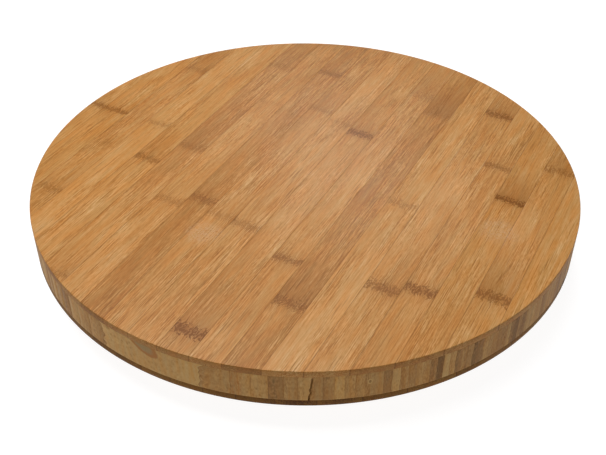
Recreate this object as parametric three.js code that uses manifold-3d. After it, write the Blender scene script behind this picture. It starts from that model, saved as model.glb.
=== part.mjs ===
// Lazy susan turntable: a round cross-laminated bamboo board that turns on a pressed-steel ball bearing
// over a smaller bamboo base on rubber feet.
//
// Millimetres, +Z up. The origin is on the spin axis, on the surface that the feet stand on.
// The grain of the top strips runs along Y, and the strips lie side by side across X.

import * as THREE from 'three';
import { mergeVertices } from 'three/addons/utils/BufferGeometryUtils.js';
import Module from 'manifold-3d';

const wasm = await Module();
wasm.setup();

// ---- Driving dimensions ----------------------------------------------------------------------

const boardRadius = 200;
const facePlyThickness = 5;
const corePlyThickness = 20;

// Where the glued joints between the top strips cross the X axis, from left to right.
const stripJoints = [
  -186, -164, -143.5, -123.5, -102, -80, -58, -37, -16.5,
  5, 26.5, 47, 69.5, 92, 115, 136, 157.5, 179.5,
];
const darkStrips = [8, 13];
const lightStrips = [14];

const baseRadius = 120;
const baseThickness = 12;
const baseEdgeChamfer = 1.5;
const accessHoleRadius = 10;

const footHeight = 3;
const footTopRadius = 11;
const footSoleRadius = 9.5;
const footCircleRadius = 100;
const footCount = 4;

const bearingHeight = 8;
const plateSide = 152;
const plateCornerRadius = 8;
const sheetThickness = 1.2;
const screwSpacing = 132;

const ballCount = 16;
const ballRadius = 2.75;
const ballCircleRadius = 50;
const retainerWidth = 9;
const retainerThickness = 1.6;

const screwHeadRadius = 3.8;
const screwHeadHeight = 2;
const screwHeadEdge = 0.9;
const screwCrownRadius = 2.7;
const screwCrownHeight = 1.8;
const screwShankRadius = 1.75;
const screwTipLength = 3;
const boardScrewLength = 14;
const baseScrewLength = 11;

const runningGap = 0.3;
const screwHoleRadius = screwShankRadius + runningGap;
const screwHoleSpareDepth = 1;

// How far a cutter reaches past the face that it opens.
const cutterReach = 1;

const rimSegments = 120;
const baseSegments = 96;
const plateSegments = 48;
const smallSegments = 12;

// ---- Heights worked out from them ------------------------------------------------------------

const baseBottom = footHeight;
const baseTop = baseBottom + baseThickness;
const boardBottom = baseTop + bearingHeight;
const coreBottom = boardBottom + facePlyThickness;
const coreTop = coreBottom + corePlyThickness;
const ballHeight = bearingHeight / 2;
const screwCircleRadius = (screwSpacing / 2) * Math.SQRT2;

// ---- Materials -------------------------------------------------------------------------------

function bamboo(color) {
  return new THREE.MeshStandardMaterial({ color, roughness: 0.5, metalness: 0 });
}

function steel(color, roughness) {
  return new THREE.MeshStandardMaterial({ color, roughness, metalness: 1 });
}

function moulded(color, roughness) {
  return new THREE.MeshStandardMaterial({ color, roughness, metalness: 0 });
}

const stripColor = 0xc38f55;
const darkStripColor = 0xa97644;
const lightStripColor = 0xcf9f60;
const coreColor = 0x8c6e4b;
const baseColor = 0xb98a58;
const zincColor = 0xb4b8bc;
const ballColor = 0xd0d2d4;
const retainerColor = 0x2c2d30;
const rubberColor = 0x1e1e1f;

// ---- Shape helpers ---------------------------------------------------------------------------

/** The mesh of a geometry, under its part name. */
function piece(name, geometry, material) {
  const mesh = new THREE.Mesh(geometry, material);
  mesh.name = name;
  return mesh;
}

/** A two-digit number for the name of a repeated piece. */
function numbered(name, index) {
  return `${name}_${String(index + 1).padStart(2, '0')}`;
}

/** A flat outline of Vector2 points raised from one height to another. */
function raised(outline, bottom, top) {
  const shape = new THREE.Shape(outline);
  const geometry = new THREE.ExtrudeGeometry(shape, { depth: top - bottom, bevelEnabled: false });
  return geometry.translate(0, 0, bottom);
}

/** An upright cylinder centred at (x, y). */
function upright(radius, bottom, top, segments, x = 0, y = 0) {
  const geometry = new THREE.CylinderGeometry(radius, radius, top - bottom, segments);
  return geometry.rotateX(Math.PI / 2).translate(x, y, (bottom + top) / 2);
}

/** A profile of [radius, height] pairs turned about Z. It runs outwards below and inwards above. */
function turned(profile, segments) {
  const points = profile.map(([radius, height]) => new THREE.Vector2(radius, height));
  return new THREE.LatheGeometry(points, segments).rotateX(Math.PI / 2);
}

/** The solid of a closed geometry, ready for joining and cutting. */
function solidOf(geometry) {
  const bare = geometry.clone();
  bare.deleteAttribute('normal');
  bare.deleteAttribute('uv');
  const merged = mergeVertices(bare, 1e-5);
  return new wasm.Manifold(new wasm.Mesh({
    numProp: 3,
    vertProperties: new Float32Array(merged.attributes.position.array),
    triVerts: new Uint32Array(merged.index.array),
  }));
}

/** The geometry of a joined or cut solid. */
function geometryOf(solid) {
  const { vertProperties, triVerts } = solid.getMesh();
  const geometry = new THREE.BufferGeometry();
  geometry.setAttribute('position', new THREE.BufferAttribute(vertProperties, 3));
  geometry.setIndex(new THREE.BufferAttribute(triVerts, 1));
  geometry.computeVertexNormals();
  return geometry;
}

/** A geometry with the given geometries cut out of it. */
function cut(geometry, holes) {
  const solid = holes.reduce((rest, hole) => rest.subtract(solidOf(hole)), solidOf(geometry));
  return geometryOf(solid);
}

/** Evenly spaced places on a circle about the spin axis, as [x, y] pairs. */
function aroundCircle(count, radius, firstAngle = 0) {
  return Array.from({ length: count }, (_, i) => {
    const angle = firstAngle + (i * 2 * Math.PI) / count;
    return [radius * Math.cos(angle), radius * Math.sin(angle)];
  });
}

/** The four screw places, at the corners of the bearing plates. */
function screwPlaces() {
  const half = screwSpacing / 2;
  return [[half, half], [-half, half], [-half, -half], [half, -half]];
}

/** A screw hole at each screw place. */
function screwHoles(bottom, top) {
  return screwPlaces().map(([x, y]) => upright(screwHoleRadius, bottom, top, smallSegments, x, y));
}

// ---- Board -----------------------------------------------------------------------------------

/** Points of the board's rim between two angles, both included, with the even points of the rim between. */
function rimPoints(fromAngle, toAngle) {
  const step = (2 * Math.PI) / rimSegments;
  const closest = step / 10;
  const even = Array.from({ length: rimSegments }, (_, i) => i * step);
  const between = even.filter((angle) => angle - fromAngle > closest && toAngle - angle > closest);
  return [fromAngle, ...between, toAngle].map((angle) => (
    new THREE.Vector2(boardRadius * Math.cos(angle), boardRadius * Math.sin(angle))
  ));
}

/** Outline of the strip of the board between two lines of constant X. */
function stripOutline(left, right) {
  const leftAngle = left <= -boardRadius ? Math.PI : Math.acos(left / boardRadius);
  const rightAngle = right >= boardRadius ? 0 : Math.acos(right / boardRadius);
  const far = rimPoints(rightAngle, leftAngle);
  const near = rimPoints(2 * Math.PI - leftAngle, 2 * Math.PI - rightAngle);
  if (left <= -boardRadius) {
    near.shift();
  }
  if (right >= boardRadius) {
    near.pop();
  }
  return [...far, ...near];
}

function stripMaterial(number) {
  if (darkStrips.includes(number)) {
    return bamboo(darkStripColor);
  }
  return bamboo(lightStrips.includes(number) ? lightStripColor : stripColor);
}

function faceStrips() {
  const edges = [-boardRadius, ...stripJoints, boardRadius];
  return edges.slice(1).map((right, i) => {
    const outline = stripOutline(edges[i], right);
    const geometry = raised(outline, coreTop, coreTop + facePlyThickness);
    return piece(numbered('face_strip', i), geometry, stripMaterial(i + 1));
  });
}

function corePanel() {
  const disc = upright(boardRadius, coreBottom, coreTop, rimSegments);
  const screwTop = boardBottom - sheetThickness + boardScrewLength;
  const holes = screwHoles(coreBottom - cutterReach, screwTop + screwHoleSpareDepth);
  return piece('core_panel', cut(disc, holes), bamboo(coreColor));
}

function bottomPly() {
  const disc = upright(boardRadius, boardBottom, coreBottom, rimSegments);
  const holes = screwHoles(boardBottom - cutterReach, coreBottom + cutterReach);
  return piece('bottom_ply', cut(disc, holes), bamboo(stripColor));
}

// ---- Bearing ---------------------------------------------------------------------------------

// Each centreline runs inwards as [radius, height above the base]: flat margin, outer ridge, ball track,
// inner ridge, flat web, and then the rim of the centre hole.
const marginRadius = 60;
const marginOverlap = 1;
const trackHalfWidth = 1.5;
const ridgeHeight = 1.3;
const ridgeSlope = 2;
const ridgeWidth = 1.6;
const lowerSheet = sheetThickness / 2;
const upperSheet = bearingHeight - sheetThickness / 2;

function ridgesAndTrack(sheetHeight, ridge) {
  const ridgeFoot = trackHalfWidth + ridgeSlope;
  const outwards = [
    [trackHalfWidth, sheetHeight],
    [ridgeFoot, sheetHeight + ridge],
    [ridgeFoot + ridgeWidth, sheetHeight + ridge],
    [ridgeFoot + ridgeWidth + ridgeSlope, sheetHeight],
  ];
  const outer = outwards.map(([offset, height]) => [ballCircleRadius + offset, height]).reverse();
  const inner = outwards.map(([offset, height]) => [ballCircleRadius - offset, height]);
  return [[marginRadius, sheetHeight], ...outer, ...inner];
}

// The lower plate's collar passes up through the upper plate and is rolled over its sunk rim,
// which keeps the two plates together.
const collarRadius = 15.6;
const collarBend = 0.8;
const collarTop = 6.6;
const lipRadius = 20.5;
const sunkRimHeight = 4.8;
const sunkRimRadius = 22.5;
const sunkRimSlope = 3.5;
const upperHoleRadius = 16.9;

const lowerCentreline = [
  ...ridgesAndTrack(lowerSheet, ridgeHeight),
  [collarRadius + 2 * collarBend, lowerSheet],
  [collarRadius, lowerSheet + 2 * collarBend],
  [collarRadius, collarTop - collarBend],
  [collarRadius + collarBend, collarTop],
  [lipRadius, collarTop],
];

const upperCentreline = [
  ...ridgesAndTrack(upperSheet, -ridgeHeight),
  [sunkRimRadius + sunkRimSlope, upperSheet],
  [sunkRimRadius, sunkRimHeight],
  [upperHoleRadius, sunkRimHeight],
];

/** One face of a bent sheet: its centreline moved sideways, with mitred bends. */
function sheetFace(centreline, offset) {
  const points = centreline.map(([radius, height]) => new THREE.Vector2(radius, height));
  const normals = points.slice(1).map((point, i) => {
    const along = point.clone().sub(points[i]).normalize();
    return new THREE.Vector2(-along.y, along.x);
  });
  return points.map((point, i) => {
    const before = normals[Math.max(i - 1, 0)];
    const after = normals[Math.min(i, normals.length - 1)];
    const mitre = before.clone().add(after).divideScalar(1 + before.dot(after));
    return point.clone().addScaledVector(mitre, offset).toArray();
  });
}

/** The closed section of a bent sheet, whose centreline runs inwards: over the top and back below. */
function sheetSection(centreline) {
  const lower = sheetFace(centreline, sheetThickness / 2);
  const upper = sheetFace(centreline, -sheetThickness / 2);
  return [...upper, ...lower.reverse(), upper[0]];
}

function roundedSquare(side, cornerRadius) {
  const inset = side / 2 - cornerRadius;
  const corners = [[inset, inset], [-inset, inset], [-inset, -inset], [inset, -inset]];
  const stepsPerCorner = 6;
  return corners.flatMap(([x, y], corner) => Array.from({ length: stepsPerCorner + 1 }, (_, i) => {
    const angle = (corner + i / stepsPerCorner) * (Math.PI / 2);
    return new THREE.Vector2(x + cornerRadius * Math.cos(angle), y + cornerRadius * Math.sin(angle));
  }));
}

/** A square pressed plate: a flat margin with the screw holes, joined to the turned ring in its middle. */
function pressedPlate(name, centreline, marginBottom) {
  const marginTop = marginBottom + sheetThickness;
  const margin = raised(roundedSquare(plateSide, plateCornerRadius), marginBottom, marginTop);
  const cutterBottom = marginBottom - cutterReach;
  const cutterTop = marginTop + cutterReach;
  const middle = upright(marginRadius - marginOverlap, cutterBottom, cutterTop, plateSegments);
  const flat = cut(margin, [middle, ...screwHoles(cutterBottom, cutterTop)]);
  const ring = turned(sheetSection(centreline), plateSegments);
  return piece(name, geometryOf(solidOf(flat).add(solidOf(ring))), steel(zincColor, 0.38));
}

function retainer() {
  const inner = ballCircleRadius - retainerWidth / 2;
  const outer = ballCircleRadius + retainerWidth / 2;
  const bottom = ballHeight - retainerThickness / 2;
  const top = ballHeight + retainerThickness / 2;
  const section = [[inner, bottom], [outer, bottom], [outer, top], [inner, top], [inner, bottom]];
  const ring = turned(section, plateSegments);
  const pockets = aroundCircle(ballCount, ballCircleRadius).map(([x, y]) => (
    upright(ballRadius + runningGap, bottom - cutterReach, top + cutterReach, smallSegments, x, y)
  ));
  return piece('ball_retainer', cut(ring, pockets), moulded(retainerColor, 0.45));
}

function balls() {
  return aroundCircle(ballCount, ballCircleRadius).map(([x, y], i) => {
    const geometry = new THREE.SphereGeometry(ballRadius, smallSegments, smallSegments / 2 + 1);
    const ball = piece(numbered('bearing_ball', i), geometry, steel(ballColor, 0.12));
    ball.position.set(x, y, ballHeight);
    return ball;
  });
}

// ---- Screws ----------------------------------------------------------------------------------

/** A pan-head screw with its seat at height 0, its head above and its shank below. */
function screwDown(length) {
  return turned([
    [0, -length],
    [screwShankRadius, screwTipLength - length],
    [screwShankRadius, 0],
    [screwHeadRadius, 0],
    [screwHeadRadius, screwHeadEdge],
    [screwCrownRadius, screwCrownHeight],
    [0, screwHeadHeight],
  ], smallSegments);
}

/** The same screw driven upwards: its head below the seat and its shank above. */
function screwUp(length) {
  return turned([
    [0, -screwHeadHeight],
    [screwCrownRadius, -screwCrownHeight],
    [screwHeadRadius, -screwHeadEdge],
    [screwHeadRadius, 0],
    [screwShankRadius, 0],
    [screwShankRadius, length - screwTipLength],
    [0, length],
  ], smallSegments);
}

function screws(name, geometry, seatHeight) {
  return screwPlaces().map(([x, y], i) => {
    const screw = piece(numbered(name, i), geometry, steel(zincColor, 0.3));
    screw.position.set(x, y, seatHeight);
    return screw;
  });
}

// ---- Base ------------------------------------------------------------------------------------

function baseDisc() {
  const chamfered = turned([
    [0, baseBottom],
    [baseRadius - baseEdgeChamfer, baseBottom],
    [baseRadius, baseBottom + baseEdgeChamfer],
    [baseRadius, baseTop - baseEdgeChamfer],
    [baseRadius - baseEdgeChamfer, baseTop],
    [0, baseTop],
  ], baseSegments);
  const screwTip = baseTop + sheetThickness - baseScrewLength;
  const cutterBottom = baseBottom - cutterReach;
  const cutterTop = baseTop + cutterReach;
  const holes = screwHoles(screwTip - screwHoleSpareDepth, cutterTop);
  const accessHole = upright(
    accessHoleRadius, cutterBottom, cutterTop, 2 * smallSegments, screwCircleRadius, 0,
  );
  return piece('base_disc', cut(chamfered, [...holes, accessHole]), bamboo(baseColor));
}

function feet() {
  const profile = [[0, 0], [footSoleRadius, 0], [footTopRadius, footHeight], [0, footHeight]];
  return aroundCircle(footCount, footCircleRadius, Math.PI / footCount).map(([x, y], i) => {
    const geometry = turned(profile, 2 * smallSegments);
    const foot = piece(numbered('rubber_foot', i), geometry, moulded(rubberColor, 0.85));
    foot.position.set(x, y, 0);
    return foot;
  });
}

// ---- Assembly --------------------------------------------------------------------------------

// The bearing is drawn from its own underside, which lies on the base disc.
const bearing = new THREE.Group();
bearing.position.z = baseTop;

const turntable = new THREE.Group();
turntable.add(...faceStrips(), corePanel(), bottomPly());
turntable.add(...screws('board_screw', screwUp(boardScrewLength), boardBottom - sheetThickness));
bearing.add(pressedPlate('upper_bearing_plate', upperCentreline, bearingHeight - sheetThickness));

bearing.add(retainer(), ...balls());

const base = new THREE.Group();
base.add(baseDisc(), ...feet());
base.add(...screws('base_screw', screwDown(baseScrewLength), baseTop + sheetThickness));
bearing.add(pressedPlate('lower_bearing_plate', lowerCentreline, 0));

const lazySusan = new THREE.Group();
lazySusan.add(turntable, bearing, base);

export default lazySusan;
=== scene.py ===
"""The looks of a lazy susan turntable: bamboo board, ball bearing, bamboo base, floor, lights and camera.

Everything is in metres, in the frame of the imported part: +Z is up, the origin is on the spin axis at the
level of the feet, and the grain of the top strips runs along Y. The tables of growth-node marks and of the
bearing's sheets are in millimetres.
"""

import math
import random

import bmesh
import bpy
from mathutils import Matrix, Vector, noise


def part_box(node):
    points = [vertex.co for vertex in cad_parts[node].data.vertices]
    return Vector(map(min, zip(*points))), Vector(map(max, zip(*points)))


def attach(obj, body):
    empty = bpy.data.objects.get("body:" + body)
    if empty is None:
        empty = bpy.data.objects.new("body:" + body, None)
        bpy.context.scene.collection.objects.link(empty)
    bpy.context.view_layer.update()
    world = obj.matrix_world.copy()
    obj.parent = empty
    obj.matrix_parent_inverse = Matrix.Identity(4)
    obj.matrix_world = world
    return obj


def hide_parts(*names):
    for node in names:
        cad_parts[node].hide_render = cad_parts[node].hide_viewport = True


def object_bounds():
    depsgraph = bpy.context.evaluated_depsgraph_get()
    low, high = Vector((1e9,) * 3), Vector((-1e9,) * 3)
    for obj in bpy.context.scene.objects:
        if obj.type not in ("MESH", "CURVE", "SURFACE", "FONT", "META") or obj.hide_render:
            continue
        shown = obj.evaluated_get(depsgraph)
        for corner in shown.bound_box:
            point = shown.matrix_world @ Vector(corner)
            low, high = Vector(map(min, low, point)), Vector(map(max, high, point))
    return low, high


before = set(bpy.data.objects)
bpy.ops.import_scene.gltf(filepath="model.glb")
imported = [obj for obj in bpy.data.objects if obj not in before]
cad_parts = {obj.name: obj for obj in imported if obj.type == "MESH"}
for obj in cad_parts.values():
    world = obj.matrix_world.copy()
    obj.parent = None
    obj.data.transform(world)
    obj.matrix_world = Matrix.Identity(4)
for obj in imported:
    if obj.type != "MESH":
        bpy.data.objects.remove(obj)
CAD_LOW, CAD_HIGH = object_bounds()

MM = 0.001
RNG = random.Random(20)
SCENE = bpy.context.scene

# ---- Sizes read from the frame ----

BOARD_RADIUS = CAD_HIGH.x
BOARD_TOP = CAD_HIGH.z
CORE_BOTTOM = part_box("core_panel")[0].z
CORE_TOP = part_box("core_panel")[1].z
BOARD_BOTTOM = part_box("bottom_ply")[0].z
BASE_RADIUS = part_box("base_disc")[1].x
BASE_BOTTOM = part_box("base_disc")[0].z
BASE_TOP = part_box("base_disc")[1].z


def nodes_named(start):
    """The CAD nodes whose names start that way, in order."""
    return sorted(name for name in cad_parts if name.startswith(start))


FACE_STRIPS = nodes_named("face_strip_")

# ---- What each top strip looks like ----

# Shade of each strip at its far end and its near end, from -1, dark, through 0, the usual honey, to 1, pale,
# and how much paler its +X edge is than its -X edge.
STRIP_TONES = [
    (0.1, 0.1, 0.0), (0.0, 0.1, 0.0), (-0.2, 0.0, 0.0), (0.2, 0.3, 0.0), (0.0, 0.1, 0.0),
    (-0.5, 0.0, 0.0), (-0.2, 0.2, -0.2), (-0.4, -0.4, 0.0), (-0.2, 0.0, 0.0), (0.0, 0.1, 0.0),
    (-0.1, -0.1, 0.0), (-0.1, 0.2, 0.0), (-0.4, -0.4, -0.3), (0.3, 0.3, 0.1), (0.2, 0.1, -0.1),
    (0.4, -0.1, -0.1), (0.0, 0.0, 0.0), (0.0, 0.1, -0.2), (0.3, 0.4, 0.1),
]

# The growth-node marks across each strip: place along the grain in mm, strength, size, and how dark the
# strip is just beyond the mark.
STRIP_MARKS = [
    [(2, 0.8, 1, 0.2)],
    [(2, 0.8, 1, 0.2)],
    [(90, 0.6, 1.3, 0.3), (-106, 0.65, 1.2, 0.2)],
    [(2, 0.6, 1, 0)],
    [(-42, 0.75, 1.1, 0.2)],
    [(128, 0.55, 1.6, 0.4), (-14, 0.65, 1.3, 0.4), (-177, 0.6, 1, 0.2)],
    [(72, 0.4, 1, 0), (-78, 0.6, 1.2, 0)],
    [(138, 0.8, 1.2, 0.3), (-66, 0.75, 1.3, 0.2)],
    [(81, 0.6, 1.1, 0.4), (-76, 0.5, 1.2, 0.1)],
    [(71, 0.5, 1, 0.1), (-77, 0.65, 1.2, 0)],
    [(64, 0.95, 1.2, 0.3), (-181, 1, 1.4, 0.4)],
    [(140, 0.6, 1.6, 0.5), (-95, 0.8, 1.1, 0)],
    [(118, 0.6, 1.4, 0.9), (-131, 0.8, 1.3, 0.7)],
    [(-4, 0.6, 1.1, 0)],
    [(141, 0.9, 1.1, 0.6), (-91, 0.8, 1.3, 0.1)],
    [(71, 0.75, 1, 0.1), (-82, 0.9, 1.3, 0.1)],
    [(35, 1, 1.0, 0.6)],
    [(87, 0.7, 1.3, 0.4), (-67, 0.85, 1.4, 0.5)],
    [],
]

# Worn patches on the top, partly painted sheen: how far right and back the middle is, and the radius.
WORN_AND_SHEEN_PATCHES = [
    (150 * MM, -2 * MM, 18 * MM),
    (-27 * MM, -98 * MM, 17 * MM),
]

# ---- What the strips of the core look like ----

CORE_PITCH = 3.54 * MM
CORE_FIRST_JOINT = -0.984 * BOARD_RADIUS

# Shade of each core strip's end on the rim, counted from the front. The rest are drawn at random.
CORE_TONES = [
    0.70, 0.00, 0.10, 0.35, -0.50, 0.05, 0.20, -0.05, -0.05, 0.60, 0.20, 0.05, -0.05, 0.05,
    -0.40, 0.50, -0.15, -0.20, 0.10, 0.15, -0.45, -0.95, 0.55, 0.20, -0.45, -0.20, -0.20,
    -0.80, -0.65, 0.15, -0.05, -0.20, -0.40, -0.25, 0.05, -0.70, -0.95, -0.25, -0.70, -0.10,
    0.10, 0.25, 0.00, 0.10,
]

# Marks on the core's rim, in places across the front: a scoop in the front strip, a growth node at the end
# of another, and a small pale flaw.
SCOOP_PLACE = -6 * MM
SCOOP_HALF_WIDTH = 9 * MM
SCOOP_DEPTH = 8 * MM
SCOOP_LEAN = 0.75
NODE_PLACE = 54 * MM
NODE_HALF_WIDTH = 5 * MM
FLAW_PLACE = 125 * MM
FLAW_DROP = 7.2 * MM
FLAW_HALF_WIDTH = 1.1 * MM
FLAW_HALF_HEIGHT = 2.2 * MM

# ---- Shader writing ----


class Shader:
    """A short way to write the nodes of one material."""

    def __init__(self, name):
        self.material = bpy.data.materials.new(name)
        self.material.use_nodes = True
        self.tree = self.material.node_tree
        self.surface = self.tree.nodes["Principled BSDF"]

    def node(self, kind, inputs, **settings):
        """A new node with its settings made and its inputs fed, each by a socket or a plain value."""
        made = self.tree.nodes.new(kind)
        for name, value in settings.items():
            setattr(made, name, value)
        for key, value in inputs.items():
            self.feed(made.inputs[key], value)
        return made

    def feed(self, socket, value):
        if isinstance(value, bpy.types.NodeSocket):
            self.tree.links.new(value, socket)
        else:
            socket.default_value = value

    def finish(self, **values):
        """Sets the surface's sockets, named with underscores for spaces, and gives the material back."""
        for name, value in values.items():
            self.feed(self.surface.inputs[name.replace("_", " ")], value)
        return self.material

    def attribute(self, name, output="Fac"):
        return self.node("ShaderNodeAttribute", {}, attribute_name=name).outputs[output]

    def position(self):
        return self.node("ShaderNodeTexCoord", {}).outputs["Object"]

    def math(self, operation, a, b=0.0):
        return self.node("ShaderNodeMath", {0: a, 1: b}, operation=operation).outputs[0]

    def product(self, first, *others):
        """All of the values multiplied together."""
        total = first
        for value in others:
            total = self.math("MULTIPLY", total, value)
        return total

    def stretched(self, vector, scale):
        """A vector or colour multiplied axis by axis."""
        return self.node("ShaderNodeVectorMath", {0: vector, 1: scale}, operation="MULTIPLY").outputs[0]

    def shifted(self, vector, offset):
        return self.node("ShaderNodeVectorMath", {0: vector, 1: offset}, operation="ADD").outputs[0]

    def noise(self, vector, scale, detail):
        """Smooth noise about 0.5, with its own scale in features per metre on each axis."""
        inputs = {"Vector": self.stretched(vector, scale), "Scale": 1.0, "Detail": detail}
        return self.node("ShaderNodeTexNoise", inputs).outputs["Fac"]

    def cells(self, vector, scale):
        """Distance to the nearest of the scattered points, with scale in points per metre."""
        inputs = {"Vector": self.stretched(vector, scale), "Scale": 1.0}
        return self.node("ShaderNodeTexVoronoi", inputs).outputs["Distance"]

    def step(self, value, low, high):
        """0 below low and 1 above high, with a smooth step between. It runs down if low is above high."""
        falling = low > high
        inputs = {"Value": value, "From Min": min(low, high), "From Max": max(low, high)}
        inputs["To Min"] = 1.0 if falling else 0.0
        inputs["To Max"] = 0.0 if falling else 1.0
        made = self.node("ShaderNodeMapRange", inputs, interpolation_type="SMOOTHSTEP")
        return made.outputs["Result"]

    def weighted(self, start, *terms):
        """start + the sum of value times weight over the (value, weight) terms."""
        total = start
        for value, weight in terms:
            made = self.node("ShaderNodeMath", {0: value, 1: weight, 2: total}, operation="MULTIPLY_ADD")
            total = made.outputs[0]
        return total

    def ramp(self, value, stops):
        """A colour from a list of (place, linear colour) stops."""
        made = self.node("ShaderNodeValToRGB", {"Fac": value})
        elements = made.color_ramp.elements
        while len(elements) < len(stops):
            elements.new(0.5)
        for element, (place, color) in zip(elements, stops):
            element.position = place
            element.color = (*color, 1)
        return made.outputs["Color"]

    def mixed(self, factor, a, b):
        """Colour a where the factor is 0, colour b where it is 1."""
        inputs = {"Factor": factor, "A": a, "B": b}
        made = self.node("ShaderNodeMix", {}, data_type="RGBA")
        sockets = {s.name: s for s in made.inputs if s.enabled}
        for name, value in inputs.items():
            if isinstance(value, tuple):
                value = (*value, 1)
            self.feed(sockets[name], value)
        return next(s for s in made.outputs if s.enabled)

    def bump(self, height, distance, strength):
        inputs = {"Height": height, "Distance": distance, "Strength": strength}
        return self.node("ShaderNodeBump", inputs).outputs["Normal"]


def srgb(red, green, blue):
    """The linear colour of an 8-bit screen colour."""
    def linear(level):
        level /= 255
        return level / 12.92 if level <= 0.04045 else ((level + 0.055) / 1.055) ** 2.4
    return linear(red), linear(green), linear(blue)


# ---- Materials ----

# The bamboo's features, in features per metre across the grain, along it and upright.
CLOUDS = (38, 10, 38)
BANDS = (170, 8, 170)
STREAKS = (560, 22, 560)
LINES = (1600, 44, 1600)
FLECKS = (1600, 240, 1600)
BUSY_PATCHES = (80, 14, 80)
HUE_CLOUDS = (220, 36, 220)
BUNDLES = (1000, 36, 1000)
BUNDLE_CROWDS = (120, 9, 120)
WAVERS = (160, 90, 160)
BAR_BENDS = (240, 20, 240)
SPECKS = (1350, 480, 1350)

# The layers of the bamboo's shade: features, detail and strength. Streaks come last.
SHADE_LAYERS = [(CLOUDS, 3.0, 0.42), (BANDS, 2.0, 0.15), (STREAKS, 2.0, 0.22)]

# Where the four colours of a palette lie between the darkest shade and the palest.
PALETTE_PLACES = (0.0, 0.3, 0.55, 1.0)

# How far sideways the grain wavers at a growth node, and how far the node's marks reach along it.
WAVER_SIZE = 5 * MM
WAVER_REACH = 16 * MM
DARK_REACH = 50 * MM
HALO_REACH = 12 * MM
BAR_REACH = 6 * MM

# What the bamboo's colour is multiplied by on cut edges, and in its paler and redder clouds.
CUT_TINT = (0.72, 0.71, 0.58)
PALE_HUE = (0.98, 1.08, 1.26)
RED_HUE = (1.02, 0.93, 0.80)


def wavering_grain(s, near, force):
    """The grain's own coordinates, which waver round a growth node."""
    grain = s.attribute("grain", "Vector")
    waver = s.math("SUBTRACT", s.noise(grain, WAVERS, 1.0), 0.5)
    closeness = s.product(s.step(near, WAVER_REACH, 0.0), force)
    sideways = s.product(waver, closeness, WAVER_SIZE)
    return s.shifted(grain, s.node("ShaderNodeCombineXYZ", {"X": sideways}).outputs[0])


def shaded_grain(s, grain, lane, colors, contrast):
    """The colour of the grain, with the fine lines and the streaks that it is made from.

    Soft clouds, bands and streaks come first, then fine lines that come and go.
    """
    layers = [(s.noise(grain, size, detail), weight * contrast) for size, detail, weight in SHADE_LAYERS]
    streaks = layers[-1][0]
    start = 0.5 - 0.5 * sum(weight for _, weight in layers)
    lines = s.noise(grain, LINES, 2.0)
    flecks = s.noise(grain, FLECKS, 1.0)
    fine = s.weighted(-0.675, (lines, 0.9), (flecks, 0.45))
    busy = s.step(s.noise(grain, BUSY_PATCHES, 2.0), 0.36, 0.64)
    strength = s.weighted(0.60 * contrast, (busy, 0.85 * contrast))
    shade = s.weighted(start, *layers, (s.attribute("tone"), 0.3), (lane, 0.02), (fine, strength))
    color = s.ramp(shade, list(zip(PALETTE_PLACES, colors)))
    redness = s.step(s.noise(grain, HUE_CLOUDS, 4.0), 0.27, 0.73)
    color = s.mixed(redness, s.stretched(color, PALE_HUE), s.stretched(color, RED_HUE))
    return color, lines, streaks


def fibre_bundles(s, grain, color, fibre, contrast):
    """The colour with fine brown dashes along the grain, dots where it is cut across, and where they lie."""
    bundle = s.step(s.cells(grain, BUNDLES), 0.40, 0.12)
    crowd = s.step(s.noise(grain, BUNDLE_CROWDS, 1.0), 0.40, 0.72)
    bundles = s.product(bundle, s.weighted(0.12 * contrast, (crowd, 0.62 * contrast)))
    return s.mixed(bundles, color, fibre), bundle


def growth_marks(s, grain, gap, force, color, darkest, fibre):
    """The colour with a dark stretch beyond each growth node, and a ragged bar of dark specks at it."""
    near = s.math("ABSOLUTE", gap)
    beyond = s.product(s.step(gap, DARK_REACH, 4 * MM), s.step(gap, -3 * MM, 6 * MM))
    color = s.mixed(s.product(beyond, s.attribute("mark_shade"), 0.5), color, darkest)
    bend = s.noise(grain, BAR_BENDS, 2.0)
    off_bar = s.math("ABSOLUTE", s.weighted(-BAR_REACH / 2, (gap, 1.0), (bend, BAR_REACH)))
    crowding = s.step(off_bar, BAR_REACH, 0.0)
    speck = s.step(s.weighted(0.0, (s.noise(grain, SPECKS, 1.0), 1.0), (crowding, 0.17)), 0.57, 0.65)
    marks = s.product(speck, s.math("POWER", force, 2.0), s.step(crowding, 0.0, 0.3))
    halo = s.weighted(0.0, (s.step(near, HALO_REACH, 1 * MM), 0.24), (s.step(crowding, 0.4, 1.0), 0.34))
    color = s.mixed(s.product(halo, s.math("POWER", force, 3.0)), color, fibre)
    return s.mixed(s.product(marks, 0.92), color, fibre)


def bamboo(name, colors, fibre, contrast=1.0, glue=0.3, specular=0.25, blemish=None):
    """Laminated bamboo. Each strip's own grain, shade and marks come from the mesh's attributes."""
    s = Shader(name)
    gap = s.attribute("mark_gap")
    force = s.attribute("mark_force")
    lane = s.attribute("lane")
    cut = s.attribute("cut")
    grain = wavering_grain(s, s.math("ABSOLUTE", gap), force)
    color, lines, streaks = shaded_grain(s, grain, lane, colors, contrast)
    color, bundle = fibre_bundles(s, grain, color, fibre, contrast)
    color = growth_marks(s, grain, gap, force, color, colors[0], fibre)

    # The glue line between two strips, then flaws, then the tint of the cut edges.
    edge = s.step(s.math("ABSOLUTE", lane), 0.965, 0.99)
    color = s.mixed(s.product(edge, s.weighted(glue, (cut, 0.4))), color, fibre)
    if blemish:
        color = blemish(s, color)
    color = s.mixed(cut, color, s.stretched(color, CUT_TINT))

    relief = s.weighted(0.0, (lines, 0.5), (streaks, 0.5), (bundle, -0.35), (edge, -0.8))
    rough = s.weighted(0.38, (streaks, 0.12), (bundle, 0.08), (cut, 0.25))
    return s.finish(
        Base_Color=color, Roughness=rough, Normal=s.bump(relief, 0.1 * MM, 0.5), Specular_IOR_Level=specular,
    )


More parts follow.
